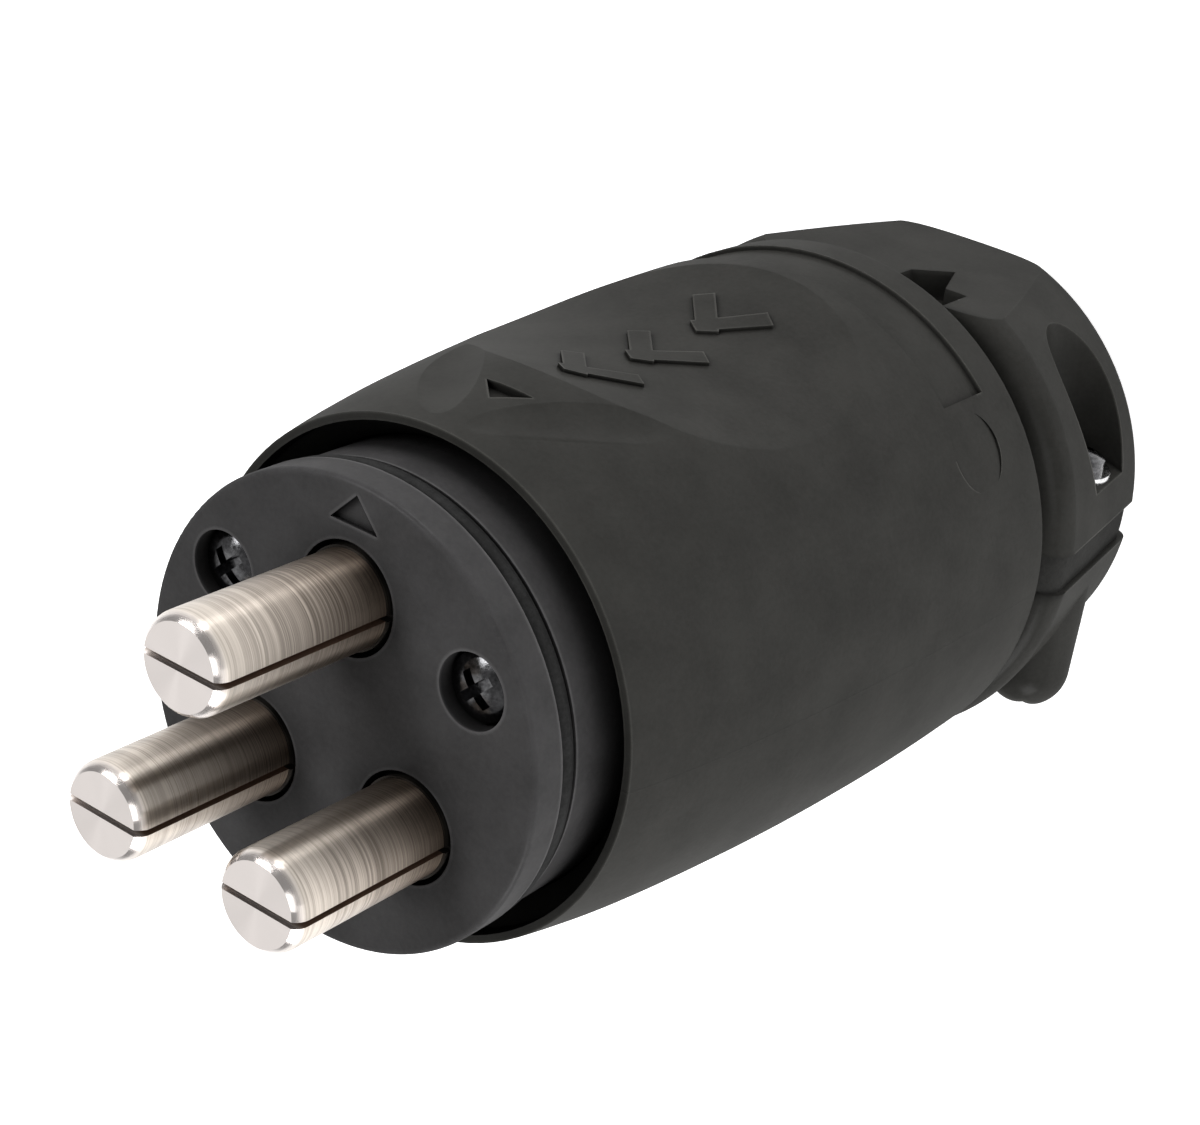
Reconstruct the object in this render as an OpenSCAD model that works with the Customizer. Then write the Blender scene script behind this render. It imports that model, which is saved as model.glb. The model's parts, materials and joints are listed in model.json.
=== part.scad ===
// Locking power plug with three split pins and a two-part cable clamp.
// It stands on its flat rear face at z = 0, and +Z runs out through the pins.
// The thumb pad faces -Y. A "height" is a distance from the axis toward the pad.

/* [Sub-part] */
// Sub-part to draw, or all of them

/* [Barrel] */
// Greatest outer radius of the barrel
barrel_r = 25.8; // [22:0.1:30]
// Distance of that greatest radius from the rear face
barrel_belly_z = 37.5; // [30:0.5:45]
// Radius of the long curve along the barrel
barrel_curve_r = 375; // [200:5:600]
// Radius of the tighter curve that closes toward the mouth
nose_curve_r = 130; // [80:5:300]
// Where the tighter curve takes over
nose_start_z = 74; // [65:0.5:80]
// Rear edge of the barrel
barrel_rear_z = 24.6; // [22:0.1:30]
// Rounding of the barrel's rear edge
barrel_edge_round = 0.9; // [0.3:0.1:2]
// Rim of the mouth
rim_z = 85.3; // [80:0.1:90]
// Inner radius of the rim
rim_inner_r = 21.7; // [20:0.1:22]
// Height of the flare between the insert's bore and the rim
flare_h = 3.6; // [1:0.1:6]

/* [Thumb pad] */
// Radius of the scoop along the barrel
scoop_r = 56; // [40:1:90]
// Height of the scoop's lowest line over the axis
scoop_height = 22.2; // [21:0.1:25]
// Position of the scoop's lowest line
scoop_z = 58; // [50:0.5:65]
// Radius of the pad's crown from side to side
crown_r = 50; // [30:1:200]
// Radius of the two flutes beside the pad's front end
flute_r = 5.4; // [4:0.1:10]
// Relief of the chevrons
chevron_relief = 0.3; // [0.2:0.05:1]
// Band width of the chevrons
chevron_w = 2; // [1:0.1:3]
// Arm length of the chevrons
chevron_arm = 7; // [4:0.5:10]
// Tip position of the first chevron
chevron_first_z = 69.6; // [60:0.1:75]
// Angle between a chevron's arms and the plug's axis
chevron_angle = 39; // [30:1:60]
// Spacing of the chevrons
chevron_step = 9.5; // [6:0.5:12]
// Number of chevrons
chevron_count = 3; // [1:1:4]

/* [Marks] */
// Half angle of the label recess around the barrel
label_half_angle = 44; // [10:1:60]
// Rear edge of the label recess
label_z = 29.4; // [26:0.1:32]
// Width of the label recess along the barrel
label_w = 7; // [4:0.1:12]
// Depth of the label recess
label_depth = 0.5; // [0.2:0.1:1]
// Depth of the triangle marks
mark_depth = 0.5; // [0.2:0.1:1]
// Half width of the triangle marks
mark_half_w = 2.4; // [1:0.1:4]

/* [Pins] */
// Radius of the pins
pin_r = 4.1; // [3:0.1:5]
// Radius of the circle that the pins stand on
pin_circle_r = 10.3; // [8:0.1:14]
// Tip of the upper pin, which meets first
pin_top_tip_z = 111.7; // [100:0.1:120]
// Tip of the two lower pins
pin_low_tip_z = 110.3; // [100:0.1:120]
// Width of the slot in each pin
pin_slot_w = 0.55; // [0.3:0.05:1.5]
// Bottom of the slot in each pin
pin_slot_z = 93.2; // [85:0.1:100]

/* [Insert] */
// Front face of the insert
face_z = 94; // [88:0.5:100]
// Radius of the insert at its face
face_r = 20; // [16:0.1:21]
// Radius of the insert inside the mouth
insert_r = 19.6; // [16:0.1:21]
// Front edge of the seal groove
groove_top_z = 90.7; // [85:0.1:93]
// Width of the seal groove
groove_w = 2.2; // [1:0.1:4]
// Radius of the bottom of the seal groove
groove_r = 17.8; // [15:0.1:19]
// Distance of each face screw from the centre plane
face_screw_x = 12.86; // [8:0.01:16]
// Height of each face screw over the axis
face_screw_height = 7.8; // [4:0.1:12]

/* [Cable clamp] */
// Front face of the clamp
clamp_front_z = 21.5; // [15:0.1:22]
// Radius of the clamp at its rear face, before rounding
clamp_rear_r = 23.3; // [20:0.1:26]
// Gain of the clamp's radius per millimetre toward the front
clamp_taper = 0.135; // [0:0.005:0.3]
// Height of the flat on top of the clamp
clamp_flat_height = 22; // [18:0.1:25]
// Thickness of each grommet wing between the clamp halves
wing_t = 2; // [1:0.1:3]
// Radius of the neck between the clamp and the barrel
neck_r = 21; // [18:0.1:23]
// Radius of the cable channel in the clamp
channel_r = 10; // [8:0.1:14]
// Radius of the cable bore in the grommet
cable_r = 7.5; // [4:0.1:9]
// Distance of each clamp screw from the centre plane
clamp_screw_x = 19.9; // [17:0.1:21]
// Position of the clamp screws along the plug
clamp_screw_z = 9.8; // [7:0.1:12]
// Radius of the screw pockets
pocket_r = 5.45; // [4:0.05:5.5]
// Height of the pocket floors over the axis
pocket_floor = 6.2; // [4:0.1:10]
// Radius of the screw bosses under the clamp
boss_r = 4.2; // [3:0.1:5]
// Reach of the screw bosses below the axis
boss_reach = 19.4; // [16:0.1:22]

/* [Hidden] */
$fn = 96;

side_names = ["left", "right"];
side_signs = [-1, 1];
long_fn = 720;
over = 1;
far = 60;

// Colours of the materials
shell_colour = [0.24, 0.235, 0.23];
insert_colour = [0.27, 0.27, 0.285];
pin_colour = [0.72, 0.68, 0.62];
screw_colour = [0.35, 0.35, 0.37];
brass_colour = [0.78, 0.66, 0.35];
rubber_colour = [0.12, 0.12, 0.12];
seal_colour = [0.2, 0.2, 0.2];
washer_colour = [0.7, 0.7, 0.7];

// Barrel: the centre of the nose curve lies on the long curve's normal, so the two run on smoothly
long_centre_r = barrel_r - barrel_curve_r;
nose_turn = asin((nose_start_z - barrel_belly_z) / barrel_curve_r);
nose_centre_r = long_centre_r + (barrel_curve_r - nose_curve_r) * cos(nose_turn);
nose_centre_z = barrel_belly_z + (barrel_curve_r - nose_curve_r) * sin(nose_turn);
function long_curve_r(z) = long_centre_r + sqrt(pow(barrel_curve_r, 2) - pow(z - barrel_belly_z, 2));

// Flute axis from front to rear: distance from the centre plane, height over the axis, position
flute_front = [2.2, 28, 84];
flute_rear = [12.5, 26.9, 70];

// Inside of the housing, from the rear to the mouth
rear_wall = 3;
neck_wall = 3.2;
cable_hole_r = 9;
floor_z = 28;
cavity_r = 20;
shoulder_z = 62;
shoulder_r = 15.6;
seat_z = 66;
bore_r = 19.8;

// Insert, carrier and contacts, stacked on the seat
carrier_r = 19.4;
insert_rear_z = 78;
collar_r = 5.4;
collar_h = 2;
pin_gap = 0.1;
shank_step = 0.2;
pin_recess_r = 4.75;
pin_recess_depth = 2.2;
tip_round_r = 1.5;
tip_round_h = 1.2;
cup_r = 4.5;
cup_rear_z = 50;
wire_r = 2.6;
wire_depth = 13;
terminal_z = 56;
terminal_r = 1.5;
terminal_out = 4.9;
saddle_top = 2;
saddle_t = 0.8;
saddle_len = 6;
driver_slot_w = 0.6;
driver_slot_depth = 0.8;

// The three contacts, in the order top, left, right
place_names = ["top", "left", "right"];
lower_pin_angle = 38;
pin_angles = [90, 180 + lower_pin_angle, -lower_pin_angle];
pin_places = [for (a = pin_angles) [pin_circle_r * cos(a), -pin_circle_r * sin(a), 0]];
pin_tips = [pin_top_tip_z, pin_low_tip_z, pin_low_tip_z];
terminal_turns = [-90, 180, 0];

// Face screws and the threaded inserts that they reach
face_hole_r = 3.15;
face_hole_depth = 2.3;
head_r = 2.85;
head_h = 2;
head_dome_r = 5;
cross_w = 0.85;
cross_l = 3.3;
cross_depth = 1.4;
shank_r = 1.5;
shank_gap = 0.3;
threaded_r = 2.6;
threaded_h = 8;
screw_boss_r = 4.6;
screw_boss_z = 54;
boss_web_w = 3;
face_screw_end_z = 60;
insert_hole_z = 57;
boss_angle = atan2(face_screw_height, face_screw_x);
boss_web_reach = 6;

// Marks
face_round = 0.5;
face_mark_height = 16.4;
face_mark_h = 2.6;
nose_mark_z = 76.6;
nose_mark_h = 2.5;
nose_mark_floor = 23;
gate_angle = 54.5;
gate_z = 34.3;
gate_r = 3.8;
gate_depth = 0.25;
seal_r = 19.9;

// Clamp hardware
washer_r = 3.6;
washer_t = 0.7;
nut_across = 5.5;
nut_t = 2.4;
nut_height = -14;
clamp_screw_end = -17.4;
wing_inset = 0.5;
clamp_rear_round = 2.2;
notch_near_x = -8.2;
notch_near_z = 16.6;
notch_point_x = -3.8;
notch_point_z = 11.2;
notch_point_w = 2;
notch_far_x = -0.8;
notch_far_z = 14.6;
notch_depth = 3;
clamp_front_round = 2.5;

// Turns a shape so that its +Z points toward the pad
module toward_pad() {
    rotate([90, 0, 0]) children();
}

// Cutter that rounds the outer corner of a revolved outline; way is 1 for a top corner, -1 for a bottom one
module corner_cut(corner_r, corner_z, round_r, way) {
    translate([corner_r - round_r, corner_z - way * round_r])
        difference() {
            translate([0, way > 0 ? 0 : -round_r - over]) square(round_r + over);
            circle(r = round_r);
        }
}

// ---- Housing ----

// Long curve, then the tighter nose curve
module barrel_outline() {
    difference() {
        union() {
            intersection() {
                translate([long_centre_r, barrel_belly_z]) circle(r = barrel_curve_r, $fn = long_fn);
                translate([0, barrel_rear_z]) square([far, nose_start_z - barrel_rear_z]);
            }
            intersection() {
                translate([nose_centre_r, nose_centre_z]) circle(r = nose_curve_r, $fn = long_fn);
                translate([0, nose_start_z]) square([far, rim_z - nose_start_z]);
            }
        }
        corner_cut(long_curve_r(barrel_rear_z + barrel_edge_round), barrel_rear_z, barrel_edge_round, -1);
    }
}

// Tapered round clamp outline; inset draws it in all round
module clamp_outline(inset = 0) {
    difference() {
        polygon([
            [0, inset],
            [clamp_rear_r - inset, inset],
            [clamp_rear_r - inset + clamp_taper * clamp_front_z, clamp_front_z],
            [0, clamp_front_z]
        ]);
        corner_cut(clamp_rear_r - inset + clamp_taper * clamp_rear_round, inset, clamp_rear_round, -1);
        corner_cut(
            clamp_rear_r - inset + clamp_taper * (clamp_front_z - clamp_front_round),
            clamp_front_z, clamp_front_round, 1
        );
    }
}

// Round clamp body between two heights over the axis
module clamp_slab(low, high, inset = 0) {
    intersection() {
        rotate_extrude() clamp_outline(inset);
        translate([-far / 2, -high, 0]) cube([far, high - low, clamp_front_z]);
    }
}

// Hollow of the housing: cable channel, neck, wire space, shoulder, bore and flared mouth
module hollow_outline() {
    polygon([
        [0, -over], [channel_r, -over],
        [channel_r, clamp_front_z], [cable_hole_r, clamp_front_z],
        [cable_hole_r, clamp_front_z + rear_wall], [neck_r - neck_wall, clamp_front_z + rear_wall],
        [neck_r - neck_wall, floor_z], [cavity_r, floor_z],
        [cavity_r, shoulder_z], [shoulder_r, shoulder_z],
        [shoulder_r, seat_z], [bore_r, seat_z],
        [bore_r, rim_z - flare_h], [rim_inner_r, rim_z - flare_h + rim_inner_r - bore_r],
        [rim_inner_r, rim_z + over], [0, rim_z + over]
    ]);
}

// Waisted roller that scoops the pad; lift raises the surface that it leaves
module scoop_roller(lift = 0) {
    translate([0, -scoop_height - scoop_r, scoop_z])
        rotate([0, 90, 0])
            rotate_extrude($fn = long_fn)
                difference() {
                    translate([0, -barrel_r]) square([scoop_r + crown_r / 2, 2 * barrel_r]);
                    translate([scoop_r - lift + crown_r, 0]) circle(r = crown_r, $fn = long_fn);
                }
}

// Chevron seen from the pad side, with its tip at the origin
module chevron() {
    for (side = [0, 1])
        mirror([side, 0])
            rotate(chevron_angle - 90)
                translate([0, -chevron_w]) square([chevron_arm, chevron_w]);
}

module chevrons() {
    for (i = [0 : chevron_count - 1])
        translate([0, 0, chevron_first_z - i * chevron_step])
            toward_pad()
                linear_extrude(barrel_r + over) chevron();
}

// Pad cutter that leaves the chevrons standing
module pad_cut() {
    scoop_roller(chevron_relief);
    difference() {
        scoop_roller();
        chevrons();
    }
}

// Shallow flutes that run back on both sides of the pad's front end, from the middle of the nose
module flutes() {
    run = flute_rear - flute_front;
    for (side = side_signs)
        translate([side * flute_front.x, -flute_front.y, flute_front.z])
            rotate([0, 0, side * -atan2(run.y, run.x)])
                rotate([0, side * (90 + asin(-run.z / norm(run))), 0])
                    translate([0, 0, -flute_r])
                        cylinder(r = flute_r, h = norm(run) + 3 * flute_r);
}

// Triangle mark with its base on the X axis
module triangle(height) {
    polygon([[-mark_half_w, 0], [mark_half_w, 0], [0, height]]);
}

// Triangle mark sunk in front of the pad, pointing to the mouth
module nose_mark() {
    translate([0, -nose_mark_floor, nose_mark_z])
        toward_pad()
            linear_extrude(barrel_r) triangle(nose_mark_h);
}

// Bare recess for a label, wrapped around the barrel behind the pad
module label_recess() {
    rotate(-90 - label_half_angle)
        rotate_extrude(angle = 2 * label_half_angle)
            translate([barrel_r - label_depth, label_z]) square([far, label_w]);
}

// Shallow round gate mark on one side
module gate_mark() {
    rotate(-90 - gate_angle)
        translate([barrel_r - gate_depth, 0, gate_z])
            rotate([0, 90, 0]) cylinder(r = gate_r, h = far);
}

// Notch in the front end of the clamp's flat, with a point toward the rear
module clamp_notch() {
    toward_pad()
        translate([0, 0, clamp_flat_height - notch_depth])
            linear_extrude(far)
                polygon([
                    [notch_near_x, clamp_front_z + over], [notch_near_x, notch_near_z],
                    [notch_point_x - notch_point_w, notch_near_z], [notch_point_x, notch_point_z],
                    [notch_far_x, notch_far_z], [notch_far_x, clamp_front_z + over]
                ]);
}

// Boss for one threaded insert, tied to the wall by a web
module insert_boss(side) {
    translate([side * face_screw_x, -face_screw_height, screw_boss_z])
        cylinder(r = screw_boss_r, h = seat_z - screw_boss_z);
    rotate(side > 0 ? -boss_angle : boss_angle - 180)
        translate([norm([face_screw_x, face_screw_height]), -boss_web_w / 2, screw_boss_z])
            cube([boss_web_reach, boss_web_w, seat_z - screw_boss_z]);
}

// Screw pocket of the clamp, open upward and outward, with the screw's hole below it
module clamp_pocket(side) {
    translate([side * clamp_screw_x, 0, clamp_screw_z])
        toward_pad() {
            translate([0, 0, pocket_floor]) cylinder(r = pocket_r, h = far);
            cylinder(r = shank_r + shank_gap, h = far);
        }
}

module housing() {
    color(shell_colour)
        difference() {
            union() {
                difference() {
                    union() {
                        rotate_extrude() barrel_outline();
                        translate([0, 0, clamp_front_z])
                            cylinder(r = neck_r, h = barrel_rear_z - clamp_front_z + over);
                        difference() {
                            clamp_slab(wing_t, clamp_flat_height);
                            clamp_notch();
                        }
                    }
                    rotate_extrude() hollow_outline();
                }
                for (side = side_signs) insert_boss(side);
            }
            pad_cut();
            flutes();
            nose_mark();
            label_recess();
            gate_mark();
            for (side = side_signs) {
                clamp_pocket(side);
                translate([side * face_screw_x, -face_screw_height, insert_hole_z])
                    cylinder(r = threaded_r, h = far);
            }
        }
}

// ---- Insert, carrier and seal ----

module insert_outline() {
    groove_rear_z = groove_top_z - groove_w;
    difference() {
        polygon([
            [0, insert_rear_z], [insert_r, insert_rear_z],
            [insert_r, groove_rear_z], [groove_r, groove_rear_z],
            [groove_r, groove_top_z], [face_r, groove_top_z],
            [face_r, face_z], [0, face_z]
        ]);
        corner_cut(face_r, face_z, face_round, 1);
    }
}

// Sinks a hole at each pin's place
module pin_holes(r, low, high) {
    for (place = pin_places)
        translate([place.x, place.y, low]) cylinder(r = r, h = high - low);
}

// Sinks a hole at each face screw's place
module face_screw_holes(r, low, high) {
    for (side = side_signs)
        translate([side * face_screw_x, -face_screw_height, low]) cylinder(r = r, h = high - low);
}

module front_insert() {
    color(insert_colour)
        difference() {
            rotate_extrude() insert_outline();
            pin_holes(pin_r + shank_step + pin_gap, insert_rear_z - over, face_z + over);
            pin_holes(pin_recess_r, face_z - pin_recess_depth, face_z + over);
            face_screw_holes(shank_r + shank_gap, insert_rear_z - over, face_z);
            face_screw_holes(face_hole_r, face_z - face_hole_depth, face_z + over);
            translate([0, -face_mark_height, face_z - mark_depth])
                mirror([0, 1, 0])
                    linear_extrude(mark_depth + over) triangle(face_mark_h);
        }
}

module rear_carrier() {
    color(insert_colour)
        difference() {
            translate([0, 0, seat_z]) cylinder(r = carrier_r, h = insert_rear_z - seat_z);
            pin_holes(cup_r + pin_gap, seat_z - over, insert_rear_z);
            pin_holes(collar_r + pin_gap, insert_rear_z - collar_h, insert_rear_z + over);
            face_screw_holes(shank_r + shank_gap, seat_z - over, insert_rear_z + over);
        }
}

// Soft ring with a rounded outer edge, seated in the groove
module seal_ring() {
    color(seal_colour)
        rotate_extrude() {
            translate([groove_r, groove_top_z - groove_w])
                square([seal_r - groove_w / 2 - groove_r, groove_w]);
            intersection() {
                translate([seal_r - groove_w / 2, groove_top_z - groove_w / 2]) circle(r = groove_w / 2);
                translate([groove_r, groove_top_z - groove_w]) square(groove_w);
            }
        }
}

// ---- Contacts ----

module pin_outline(tip_z) {
    collar_z = insert_rear_z - collar_h;
    straight_z = tip_z - tip_round_h;
    translate([0, cup_rear_z]) square([cup_r, collar_z - cup_rear_z]);
    translate([0, collar_z]) square([collar_r, collar_h]);
    translate([0, insert_rear_z]) square([pin_r + shank_step, face_z - insert_rear_z]);
    translate([0, face_z]) square([pin_r, straight_z - face_z]);
    translate([0, straight_z]) square([pin_r - tip_round_r, tip_round_h]);
    intersection() {
        translate([pin_r - tip_round_r, straight_z]) circle(r = tip_round_r);
        translate([0, straight_z]) square([pin_r, tip_round_h]);
    }
}

// Contact with a split tip, a trapped collar and a wire cup
module pin(i) {
    color(pin_colour)
        translate(pin_places[i])
            difference() {
                rotate_extrude() pin_outline(pin_tips[i]);
                translate([-far / 2, -pin_slot_w / 2, pin_slot_z]) cube([far, pin_slot_w, far]);
                translate([0, 0, cup_rear_z - over]) cylinder(r = wire_r, h = wire_depth + over);
                rotate(terminal_turns[i]) terminal_axis() cylinder(r = terminal_r, h = cup_r + over);
            }
}

// Lays a shape along the terminal screw's axis, out from the contact's centre
module terminal_axis() {
    translate([0, 0, terminal_z]) rotate([0, 90, 0]) children();
}

module terminal_screw(i) {
    color(screw_colour)
        translate(pin_places[i]) rotate(terminal_turns[i]) terminal_axis()
            difference() {
                translate([0, 0, saddle_top]) cylinder(r = terminal_r, h = terminal_out - saddle_top);
                translate([-cup_r, -driver_slot_w / 2, terminal_out - driver_slot_depth])
                    cube([2 * cup_r, driver_slot_w, cup_r]);
            }
}

// Pressure piece between the terminal screw and the wire
module saddle(i) {
    color(brass_colour)
        translate(pin_places[i]) rotate(terminal_turns[i])
            intersection() {
                translate([0, 0, terminal_z - saddle_len / 2]) cylinder(r = wire_r, h = saddle_len);
                translate([saddle_top - saddle_t, -cup_r, cup_rear_z]) cube([saddle_t, 2 * cup_r, far]);
            }
}

// ---- Screws, inserts, washers and nuts ----

// Cross-head screw with its head's seat at the origin, its head up and its shank down
module cross_screw(shank_l) {
    color(screw_colour)
        difference() {
            union() {
                intersection() {
                    cylinder(r = head_r, h = head_h);
                    translate([0, 0, head_h - head_dome_r]) sphere(r = head_dome_r);
                }
                translate([0, 0, -shank_l]) cylinder(r = shank_r, h = shank_l + over);
            }
            for (turn = [45, 135])
                rotate(turn)
                    translate([-cross_l / 2, -cross_w / 2, head_h - cross_depth])
                        cube([cross_l, cross_w, head_h]);
        }
}

module face_screw(side) {
    translate([side * face_screw_x, -face_screw_height, face_z - face_hole_depth])
        cross_screw(face_z - face_hole_depth - face_screw_end_z);
}

module threaded_insert(side) {
    color(brass_colour)
        translate([side * face_screw_x, -face_screw_height, seat_z - threaded_h])
            difference() {
                cylinder(r = threaded_r, h = threaded_h);
                translate([0, 0, -over]) cylinder(r = shank_r, h = threaded_h + 2 * over);
            }
}

// Places a shape on a clamp screw's axis, at a height over the plug's axis
module on_clamp_screw(side, height) {
    translate([side * clamp_screw_x, -height, clamp_screw_z]) toward_pad() children();
}

module clamp_screw(side) {
    on_clamp_screw(side, pocket_floor + washer_t)
        cross_screw(pocket_floor + washer_t - clamp_screw_end);
}

module clamp_washer(side) {
    color(washer_colour)
        on_clamp_screw(side, pocket_floor)
            difference() {
                cylinder(r = washer_r, h = washer_t);
                translate([0, 0, -over]) cylinder(r = shank_r, h = washer_t + 2 * over);
            }
}

module clamp_nut(side) {
    color(screw_colour)
        on_clamp_screw(side, nut_height - nut_t)
            difference() {
                cylinder(r = nut_across / 2 / cos(30), h = nut_t, $fn = 6);
                translate([0, 0, -over]) cylinder(r = shank_r, h = nut_t + 2 * over);
            }
}

// ---- Lower clamp and grommet ----

module lower_clamp() {
    color(shell_colour)
        difference() {
            union() {
                clamp_slab(-far / 2, -wing_t);
                for (side = side_signs) {
                    on_clamp_screw(side, boss_r - boss_reach)
                        cylinder(r = boss_r, h = boss_reach - boss_r - wing_t);
                    on_clamp_screw(side, boss_r - boss_reach) sphere(r = boss_r);
                }
            }
            translate([0, 0, -over]) cylinder(r = channel_r, h = clamp_front_z + 2 * over);
            for (side = side_signs) {
                on_clamp_screw(side, -far) cylinder(r = shank_r + shank_gap, h = far);
                on_clamp_screw(side, nut_height - far)
                    cylinder(r = nut_across / 2 / cos(30), h = far, $fn = 6);
            }
        }
}

// One half of the grommet: half a tube in the channel, with a flat wing on each side
module grommet_half(low, high) {
    color(rubber_colour)
        difference() {
            union() {
                clamp_slab(max(low, -wing_t), min(high, wing_t), wing_inset);
                intersection() {
                    cylinder(r = channel_r, h = clamp_front_z);
                    translate([-far / 2, -high, 0]) cube([far, high - low, clamp_front_z]);
                }
            }
            translate([0, 0, -over]) cylinder(r = cable_r, h = clamp_front_z + 2 * over);
            for (side = side_signs)
                on_clamp_screw(side, -far / 2) cylinder(r = shank_r + shank_gap, h = far);
        }
}

housing();
front_insert();
rear_carrier();
seal_ring();
for (i = [0 : 2]) {
    pin(i);
    terminal_screw(i);
    saddle(i);
}
for (i = [0 : 1]) {
    face_screw(side_signs[i]);
    threaded_insert(side_signs[i]);
    clamp_screw(side_signs[i]);
    clamp_washer(side_signs[i]);
    clamp_nut(side_signs[i]);
}
lower_clamp();
grommet_half(0, channel_r);  // grommet_upper
grommet_half(-channel_r, 0);  // grommet_lower
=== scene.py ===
import json
import math

import bpy
from mathutils import Matrix, Vector


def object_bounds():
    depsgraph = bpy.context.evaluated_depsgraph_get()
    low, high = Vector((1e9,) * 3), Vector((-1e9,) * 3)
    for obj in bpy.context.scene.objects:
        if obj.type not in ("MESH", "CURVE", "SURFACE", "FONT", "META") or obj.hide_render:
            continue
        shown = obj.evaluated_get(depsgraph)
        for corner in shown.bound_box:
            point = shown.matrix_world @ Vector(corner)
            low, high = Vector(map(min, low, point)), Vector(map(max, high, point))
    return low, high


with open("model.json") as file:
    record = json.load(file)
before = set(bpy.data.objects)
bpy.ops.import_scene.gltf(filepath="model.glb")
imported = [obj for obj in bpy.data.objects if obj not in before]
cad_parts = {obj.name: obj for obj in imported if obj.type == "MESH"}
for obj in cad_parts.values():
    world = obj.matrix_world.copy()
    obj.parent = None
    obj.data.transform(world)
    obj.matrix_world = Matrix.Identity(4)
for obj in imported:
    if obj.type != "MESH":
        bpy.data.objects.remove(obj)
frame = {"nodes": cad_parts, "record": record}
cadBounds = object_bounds()
nodes = frame["nodes"]
mm = 0.001
print("frame loaded:", len(nodes), "nodes")


class Wire:
    # one output socket of a material, with the usual signs for its maths
    def __init__(self, paint, socket):
        self.paint = paint
        self.socket = socket

    def work(self, how, first, second=None):
        values = {0: first} if second is None else {0: first, 1: second}
        return self.paint.node("ShaderNodeMath", {"operation": how}, values)

    def __add__(self, other):
        return self.work("ADD", self, other)

    def __radd__(self, other):
        return self.work("ADD", other, self)

    def __sub__(self, other):
        return self.work("SUBTRACT", self, other)

    def __rsub__(self, other):
        return self.work("SUBTRACT", other, self)

    def __mul__(self, other):
        return self.work("MULTIPLY", self, other)

    def __rmul__(self, other):
        return self.work("MULTIPLY", other, self)

    def __abs__(self):
        return self.work("ABSOLUTE", self)

    def __lt__(self, other):
        return self.work("LESS_THAN", self, other)

    def __gt__(self, other):
        return self.work("GREATER_THAN", self, other)


class Paint:
    # a material with one principled shader, whose other nodes all come from node()
    def __init__(self, name, **constants):
        self.material = bpy.data.materials.new(name)
        self.material.use_nodes = True
        self.tree = self.material.node_tree
        self.shader = self.tree.nodes["Principled BSDF"]
        for socket, value in constants.items():
            self.shader.inputs[socket.replace("_", " ")].default_value = value
        self.place = self.node("ShaderNodeTexCoord", output="Object")

    def node(self, kind, settings=None, inputs=None, output=0):
        made = self.tree.nodes.new(kind)
        for key, value in (settings or {}).items():
            setattr(made, key, value)
        for key, value in (inputs or {}).items():
            if isinstance(value, Wire):
                self.tree.links.new(value.socket, made.inputs[key])
            else:
                made.inputs[key].default_value = value
        return Wire(self, made.outputs[output])

    # the place along x, y or z, in metres
    def axis(self, index):
        return self.node("ShaderNodeSeparateXYZ", None, {"Vector": self.place}, index)

    # the shader's sockets that change over the surface
    def feed(self, **wires):
        for socket, wire in wires.items():
            self.tree.links.new(wire.socket, self.shader.inputs[socket.replace("_", " ")])

    # noise with grains of the given size in millimetres, one size for all axes or one for each
    def noise(self, size, detail=2.0, roughness=0.5, seed=0.0):
        spans = size if isinstance(size, tuple) else (size, size, size)
        scale = tuple(1 / (span * mm) for span in spans)
        shift = (seed, seed * 2, seed * 3)
        stretched = self.node(
            "ShaderNodeMapping", None, {"Vector": self.place, "Scale": scale, "Location": shift}
        )
        return self.node(
            "ShaderNodeTexNoise", {"noise_dimensions": "3D"},
            {"Vector": stretched, "Scale": 1.0, "Detail": detail, "Roughness": roughness},
        )

    # low where the wire is at start, high where it is at end, and held beyond them
    def ramp(self, wire, low, high, start=0.0, end=1.0):
        return self.node(
            "ShaderNodeMapRange", {"clamp": True},
            {"Value": wire, "From Min": start, "From Max": end, "To Min": low, "To Max": high},
        )

    # two noises mixed by share, with what lies between low and high spread over 0 to 1
    def mask(self, first, second, share, low, high):
        return self.ramp(first * share + second * (1 - share), 0, 1, low, high)

    def blend(self, factor, first, second):
        ends = [(*colour, 1) if isinstance(colour, tuple) else colour for colour in (first, second)]
        return self.node(
            "ShaderNodeMix", {"data_type": "RGBA"}, {"Factor": factor, 6: ends[0], 7: ends[1]}, 2
        )

    def scaled(self, colour, factor):
        return self.node(
            "ShaderNodeVectorMath", {"operation": "SCALE"}, {"Vector": colour, "Scale": factor}
        )

    # height from 0 to 1 stands for a rise of depth millimetres
    def bump(self, height, depth, normal=None):
        values = {"Height": height, "Distance": depth * mm, "Strength": 1.0}
        if normal is not None:
            values["Normal"] = normal
        return self.node("ShaderNodeBump", None, values)


# zones in millimetres: from low to high along the plug, inner to outer from its middle plane, y below side
# extra is how much wider than soften a zone's edges are rounded
# the pad, and the barrel behind it
padSoft = [
    dict(extra=1.8, low=40, high=83, inner=0, outer=30, side=-15),
    dict(extra=2.2, low=33, high=39, inner=0, outer=30, side=-15),
    dict(extra=2.2, low=30.5, high=33, inner=15, outer=30, side=-15),
]
# the chevrons on the pad and the triangle mark in front of it keep their edges
padCrisp = [
    dict(low=41, high=70.8, inner=0, outer=7.5, side=-15),
    dict(low=75.8, high=83, inner=0, outer=3.6, side=-15),
]
# the clamp's front edge, and the notch in its flat
clampSoft = [
    dict(extra=1.8, low=18.5, high=23, inner=0, outer=40, side=40),
    dict(extra=0.5, low=9, high=18, inner=0, outer=10, side=-15),
]

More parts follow.
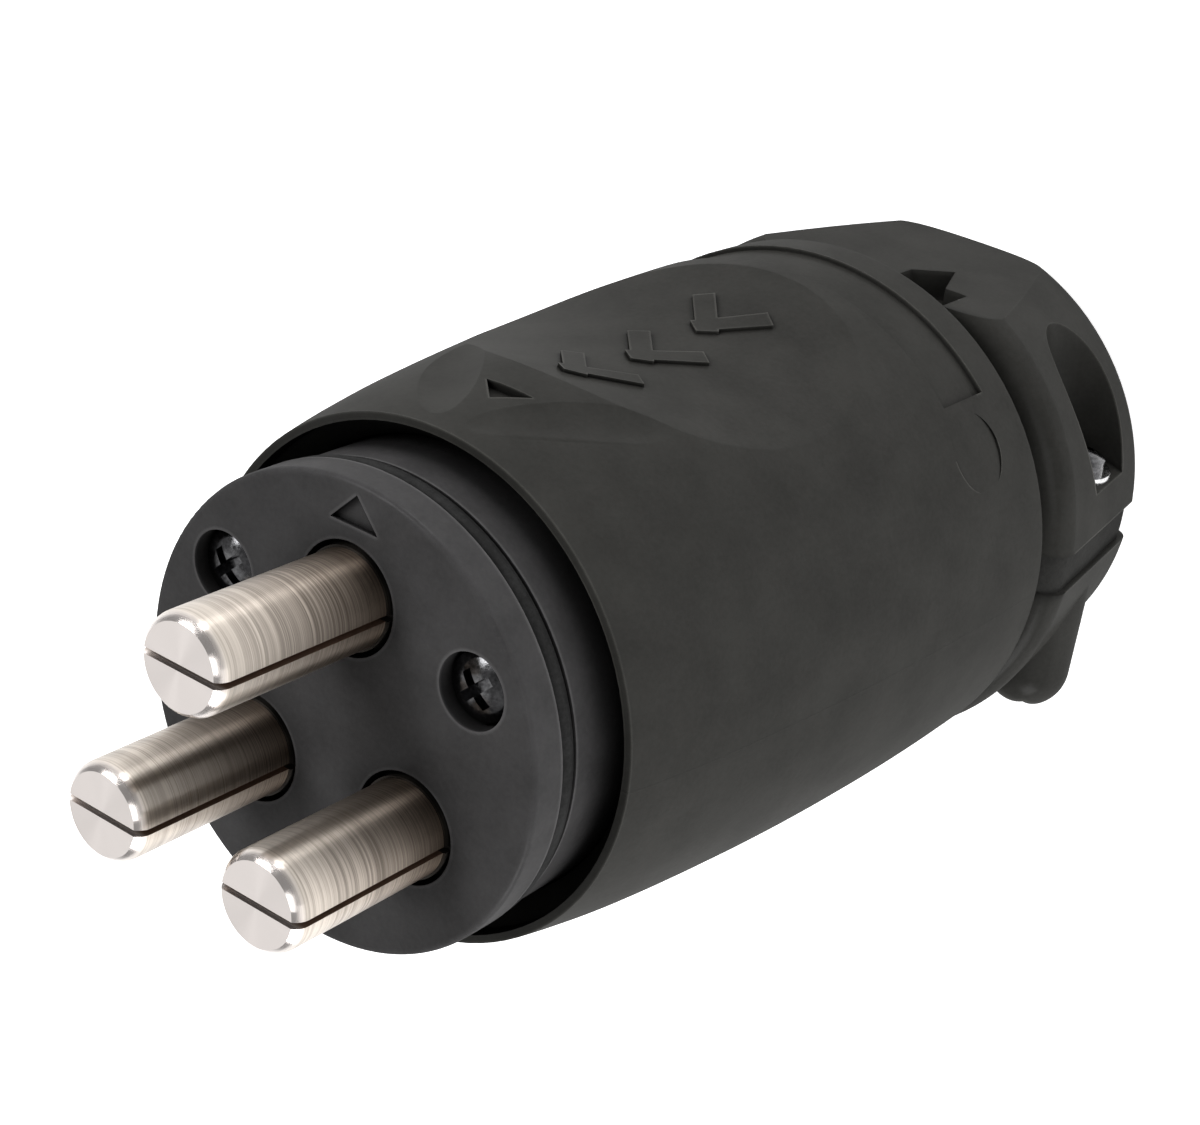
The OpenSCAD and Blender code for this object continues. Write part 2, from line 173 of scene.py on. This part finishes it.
# the finish of each moulded plastic and the shade and highlights painted into its colour, with lengths in
# millimetres corner, edge and gap are how far the shade painted in corners, the highlight painted on edges
# and the shade painted in gaps reach edges that are widened by more than sharpUpTo get no painted corner
# shade and no painted highlight
shellLook = dict(
    dark=(0.0215, 0.0212, 0.0195), pale=(0.0300, 0.0295, 0.0273), roughLow=0.30, roughHigh=0.42,
    coat=0.08, coatRough=0.25, soften=0.35, soft=padSoft + clampSoft, crisp=padCrisp, sharpUpTo=0.1,
    grain=0.16, grainDepth=0.010, ripple=6.0, rippleDepth=0.015, speck=0.5,
    cloudInTone=0.6, cloudInRough=0.5, noiseLow=0.35, noiseHigh=0.65,
    seamCore=0.06, seam=0.12, seamDepth=0.03,
    corner=0.6, paintedCornerShade=0.95, edge=0.22, paintedEdgeHighlight=2.6, gap=4, paintedGapShade=0.9, gapFrom=30,
)
clampLook = dict(
    shellLook, dark=(0.0240, 0.0237, 0.0220), pale=(0.0330, 0.0325, 0.0303), corner=1.5, paintedCornerShade=0.4,
    edge=0.45, paintedEdgeHighlight=1.1, soft=clampSoft, crisp=[],
)
insertLook = dict(
    shellLook, dark=(0.0340, 0.0332, 0.0336), pale=(0.0470, 0.0460, 0.0467), roughLow=0.34, roughHigh=0.48,
    soften=0.25, grain=0.12, grainDepth=0.006, ripple=4.0, rippleDepth=0.008, seamDepth=0.0, corner=0.9,
    paintedCornerShade=0.85, edge=0.35, paintedEdgeHighlight=2.0, soft=[], crisp=[],
)


def inside(paint, zone):
    across = abs(paint.axis(0))
    along = paint.axis(2)
    lengthwise = (along > zone["low"] * mm) * (along < zone["high"] * mm)
    widthwise = (across > zone["inner"] * mm) * (across < zone["outer"] * mm)
    return lengthwise * widthwise * (paint.axis(1) < zone["side"] * mm)


def extraRadius(paint, look):
    extra = 0.0
    for zone in look["soft"]:
        extra = extra + inside(paint, zone) * (zone["extra"] * mm)
    for zone in look["crisp"]:
        extra = extra * (1 - inside(paint, zone))
    return extra


# 0 in the open and more in a corner, or inward at a sharp edge, within reach millimetres
def closeness(paint, reach, inward=False, alone=True):
    return 1 - paint.node(
        "ShaderNodeAmbientOcclusion", {"samples": 4, "inside": inward, "only_local": alone},
        {"Distance": reach * mm}, "AO",
    )


def mouldedPlastic(name, look):
    paint = Paint(name, Specular_IOR_Level=0.0, Coat_Weight=look["coat"], Coat_Roughness=look["coatRough"])
    cloud = paint.noise(look["ripple"], detail=3)
    grain = paint.noise(look["grain"], detail=3, roughness=0.6)
    specks = paint.noise(look["speck"], detail=4, roughness=0.7, seed=3)
    tone = paint.mask(cloud, specks, look["cloudInTone"], look["noiseLow"], look["noiseHigh"])
    gloss = paint.mask(cloud, grain, look["cloudInRough"], look["noiseLow"], look["noiseHigh"])
    seam = paint.ramp(abs(paint.axis(1)), 1, 0, look["seamCore"] * mm, look["seam"] * mm)
    extra = extraRadius(paint, look)
    sharp = 1 - (extra > look["sharpUpTo"] * mm)
    # painted shade: the colour is darkened in corners, within corner millimetres
    corners = closeness(paint, look["corner"]) * sharp
    # painted highlight: the colour is lightened on sharp outer edges, within edge millimetres
    edges = closeness(paint, look["edge"], inward=True) * sharp
    # painted shade: the colour is darkened in gaps between parts, only beyond gapFrom towards the mouth
    gaps = closeness(paint, look["gap"], alone=False) * (paint.axis(2) > look["gapFrom"] * mm)
    # light multiplies the colour by the painted shade in corners and gaps and the painted highlight on
    # edges
    light = (1 - corners * look["paintedCornerShade"]) * (1 + edges * look["paintedEdgeHighlight"])
    light = light * (1 - gaps * look["paintedGapShade"])
    colour = paint.blend(tone, look["dark"], look["pale"])
    rounded = paint.node("ShaderNodeBevel", {"samples": 8}, {"Radius": extra + look["soften"] * mm})
    line = paint.bump(seam, look["seamDepth"], rounded)
    wave = paint.bump(cloud, look["rippleDepth"], line)
    paint.feed(
        Base_Color=paint.scaled(colour, light),
        Roughness=paint.ramp(gloss, look["roughLow"], look["roughHigh"]),
        Normal=paint.bump(grain, look["grainDepth"], wave),
    )
    return paint.material


# turned metal, darker and browner near the insert as painted shade and paler at the tip as a painted
# highlight, with lengths in millimetres
# the lathe's rings are noise stretched across the pin and tight along it, and spread a reflection along it
# the painted shade fades out between the insert's face and its end further out, and the tip's painted
# highlight and smoother finish set in from tipStart to tipEnd
# the upper pin, at y below upperBelow, ends upperRise further out than the other two
pinLook = dict(
    pale=(0.60, 0.545, 0.485), paintedShadeBrown=(0.175, 0.135, 0.103), dark=(0.055, 0.042, 0.033),
    tip=(0.70, 0.65, 0.625), paintedRecessShade=(0.03, 0.027, 0.024), slot=(0.16, 0.10, 0.07),
    roughLow=0.32, roughHigh=0.50, tipRough=0.24, spread=0.85, spreadTurn=0.25,
    ring=(40, 40, 0.16), ringDepth=0.006, band=(60, 60, 1.6), ringInMarks=0.7, marksLow=0.40,
    marksHigh=0.60, marksAtTip=0.3, marksAdded=0.6, face=94.03, paintedShadeEnd=112, tipStart=109.3, tipEnd=110.1,
    upperRise=1.4, upperBelow=-2, slotPlaces=(-10.3, 6.341), slotReach=0.28, slotDull=0.5,
)


def turnedPinMetal(name, look):
    paint = Paint(name, Metallic=1.0, Anisotropic=look["spread"], Anisotropic_Rotation=look["spreadTurn"])
    along = paint.axis(2)
    height = paint.axis(1)
    rise = (height < look["upperBelow"] * mm) * look["upperRise"] * mm
    tip = paint.ramp(along - rise, 0, 1, look["tipStart"] * mm, look["tipEnd"] * mm)
    rings = paint.noise(look["ring"], detail=3, roughness=0.65)
    bands = paint.noise(look["band"], detail=2, seed=5)
    # painted shade along the pin: 1 at the insert's face, falling to 0 further out
    depth = paint.ramp(along, 1, 0, look["face"] * mm, look["paintedShadeEnd"] * mm)
    marks = 1 - paint.mask(rings, bands, look["ringInMarks"], look["marksLow"], look["marksHigh"])
    # the lathe's rings are also painted darker nearer the insert, as part of the painted shade
    marks = marks * (depth * look["marksAdded"] + look["marksAtTip"])
    metal = paint.blend(marks, paint.blend(depth, look["pale"], look["paintedShadeBrown"]), look["dark"])
    # painted highlight: the tip's colour is paler
    metal = paint.blend(tip, metal, look["tip"])
    upperSlot, lowerSlot = [
        abs(height - place * mm) < look["slotReach"] * mm for place in look["slotPlaces"]
    ]
    inSlot = (upperSlot + lowerSlot) * (1 - tip)
    # painted shade in the slots: a warm dark brown, with less metal
    metal = paint.blend(inSlot, metal, look["slot"])
    rough = paint.ramp(marks, look["roughLow"], look["roughHigh"])
    paint.feed(
        # painted shade in the insert's recess: the pin below the insert's face is near black
        Base_Color=paint.blend(along < look["face"] * mm, metal, look["paintedRecessShade"]),
        Metallic=1 - inSlot * look["slotDull"],
        Roughness=rough * (1 - tip) + tip * look["tipRough"],
        Normal=paint.bump(rings, look["ringDepth"]),
    )
    return paint.material


# plain metals with worn patches, with lengths in millimetres
screwLook = dict(
    pale=(0.15, 0.15, 0.155), dark=(0.03, 0.03, 0.031), roughLow=0.08, roughHigh=0.24,
    wear=0.3, wearDepth=0.01, patch=2.5, wearInMask=0.5, maskLow=0.38, maskHigh=0.62,
)
washerLook = dict(screwLook, pale=(0.70, 0.70, 0.70), dark=(0.45, 0.45, 0.45))
brassLook = dict(screwLook, pale=(0.78, 0.62, 0.32), dark=(0.5, 0.38, 0.2), roughLow=0.25, roughHigh=0.4)


def plainMetal(name, look):
    paint = Paint(name, Metallic=1.0)
    wear = paint.noise(look["wear"], detail=4, roughness=0.7)
    patch = paint.noise(look["patch"], detail=2, seed=2)
    worn = paint.mask(wear, patch, look["wearInMask"], look["maskLow"], look["maskHigh"])
    paint.feed(
        Base_Color=paint.blend(worn, look["dark"], look["pale"]),
        Roughness=paint.ramp(worn, look["roughLow"], look["roughHigh"]),
        Normal=paint.bump(wear, look["wearDepth"]),
    )
    return paint.material


# the ring around the insert and the strip between the clamp halves, with lengths in millimetres
sealLook = dict(
    dark=(0.014, 0.014, 0.014), pale=(0.024, 0.024, 0.024), roughLow=0.5, roughHigh=0.65,
    coat=0.06, coatRough=0.4, dust=0.4, dustDepth=0.01, patch=5, dustInMask=0.5, maskLow=0.4, maskHigh=0.6,
)
grommetLook = dict(sealLook, dark=(0.019, 0.0188, 0.018), pale=(0.028, 0.0277, 0.0265))


def softRubber(name, look):
    paint = Paint(name, Specular_IOR_Level=0.0, Coat_Weight=look["coat"], Coat_Roughness=look["coatRough"])
    dust = paint.noise(look["dust"], detail=4, roughness=0.7)
    patch = paint.noise(look["patch"], detail=2, seed=1)
    dusty = paint.mask(dust, patch, look["dustInMask"], look["maskLow"], look["maskHigh"])
    paint.feed(
        Base_Color=paint.blend(dusty, look["dark"], look["pale"]),
        Roughness=paint.ramp(dusty, look["roughLow"], look["roughHigh"]),
        Normal=paint.bump(dust, look["dustDepth"]),
    )
    return paint.material


materials = {
    "shell": mouldedPlastic("shellPlastic", shellLook),
    "clamp_shell": mouldedPlastic("clampPlastic", clampLook),
    "insert": mouldedPlastic("insertPlastic", insertLook),
    "seal": softRubber("sealRubber", sealLook),
    "grommet_rubber": softRubber("grommetRubber", grommetLook),
    "pin_metal": turnedPinMetal("pinMetal", pinLook),
    "brass": plainMetal("yellowBrass", brassLook),
    "screw_metal": plainMetal("darkSteel", screwLook),
    "washer_metal": plainMetal("brightSteel", washerLook),
}

slotOf = {entry["node"]: entry["material_slot"] for entry in frame["record"]["subparts"]}
for name, piece in nodes.items():
    piece.data.materials.clear()
    piece.data.materials.append(materials[slotOf[name]])
print("materials on", len(slotOf), "nodes")

# places in metres, roll in degrees, lens and sensor in millimetres
cameraSetup = dict(
    place=(-0.11215, -0.09831, 0.22941), aim=(-0.01212, -0.01356, 0.07838), roll=-114.0,
    lens=76.97, sensor=36, nearest=0.01,
)


def placeCamera():
    eye = Vector(cameraSetup["place"])
    look = (Vector(cameraSetup["aim"]) - eye).normalized()
    level = look.to_track_quat("-Z", "Y").to_matrix().to_4x4()
    roll = Matrix.Rotation(math.radians(cameraSetup["roll"]), 4, "Z")
    data = bpy.data.cameras.new("plugCamera")
    data.lens = cameraSetup["lens"]
    data.sensor_width = cameraSetup["sensor"]
    data.clip_start = cameraSetup["nearest"]
    camera = bpy.data.objects.new("plugCamera", data)
    camera.matrix_world = Matrix.Translation(eye) @ level @ roll
    bpy.context.collection.objects.link(camera)
    bpy.context.scene.camera = camera


placeCamera()

# the floor lies a drop below the plug's rear face, in metres
floorSetup = dict(size=6.0, drop=0.0002, shade=(0.86, 0.86, 0.86), rough=0.9, glow=0.78)


def layFloor():
    height = cadBounds[0][2] - floorSetup["drop"]
    bpy.ops.mesh.primitive_plane_add(size=floorSetup["size"], location=(0, 0, height))
    floor = bpy.context.object
    floor.name = "paleFloor"
    paint = Paint(
        "palePaper", Base_Color=(*floorSetup["shade"], 1), Roughness=floorSetup["rough"],
        Emission_Color=(1, 1, 1, 1), Emission_Strength=floorSetup["glow"],
    )
    floor.data.materials.append(paint.material)


layFloor()

# each square light stands at its distance from the plug's middle and faces it, in metres and watts
plugMiddle = Vector((0, 0, 0.06))
lightSetup = [
    dict(name="keyLight", towards=(0.05, -1.0, 0.02), distance=0.6, size=0.16, power=1.0),
    dict(name="sideLight", towards=(-1.0, 0.15, 0.12), distance=0.7, size=0.35, power=0.5),
    dict(name="frontLight", towards=(-0.6, -0.1, 0.8), distance=0.7, size=0.35, power=1.1),
    dict(name="lowLight", towards=(-0.5, 0.8, 0.35), distance=0.7, size=0.35, power=3.4),
    dict(name="tipLight", towards=(0.50, 0.42, 0.75), distance=0.7, size=0.55, power=0.75),
    dict(name="pinLight", towards=(0.54, -0.62, 0.93), distance=0.7, size=0.3, power=3.0),
]


def hangLights():
    for light in lightSetup:
        data = bpy.data.lights.new(light["name"], "AREA")
        data.shape = "SQUARE"
        data.size = light["size"]
        data.energy = light["power"]
        lamp = bpy.data.objects.new(light["name"], data)
        away = Vector(light["towards"]).normalized()
        lamp.location = plugMiddle + away * light["distance"]
        lamp.rotation_euler = away.to_track_quat("Z", "Y").to_euler()
        bpy.context.collection.objects.link(lamp)


hangLights()

roomSetup = dict(colour=(1, 1, 1, 1), strength=0.32)


def lightRoom():
    world = bpy.data.worlds.new("paleRoom")
    world.use_nodes = True
    background = world.node_tree.nodes["Background"]
    background.inputs["Color"].default_value = roomSetup["colour"]
    background.inputs["Strength"].default_value = roomSetup["strength"]
    bpy.context.scene.world = world
    bpy.context.scene.view_settings.view_transform = "Standard"


lightRoom()
print("camera, floor and lights placed")
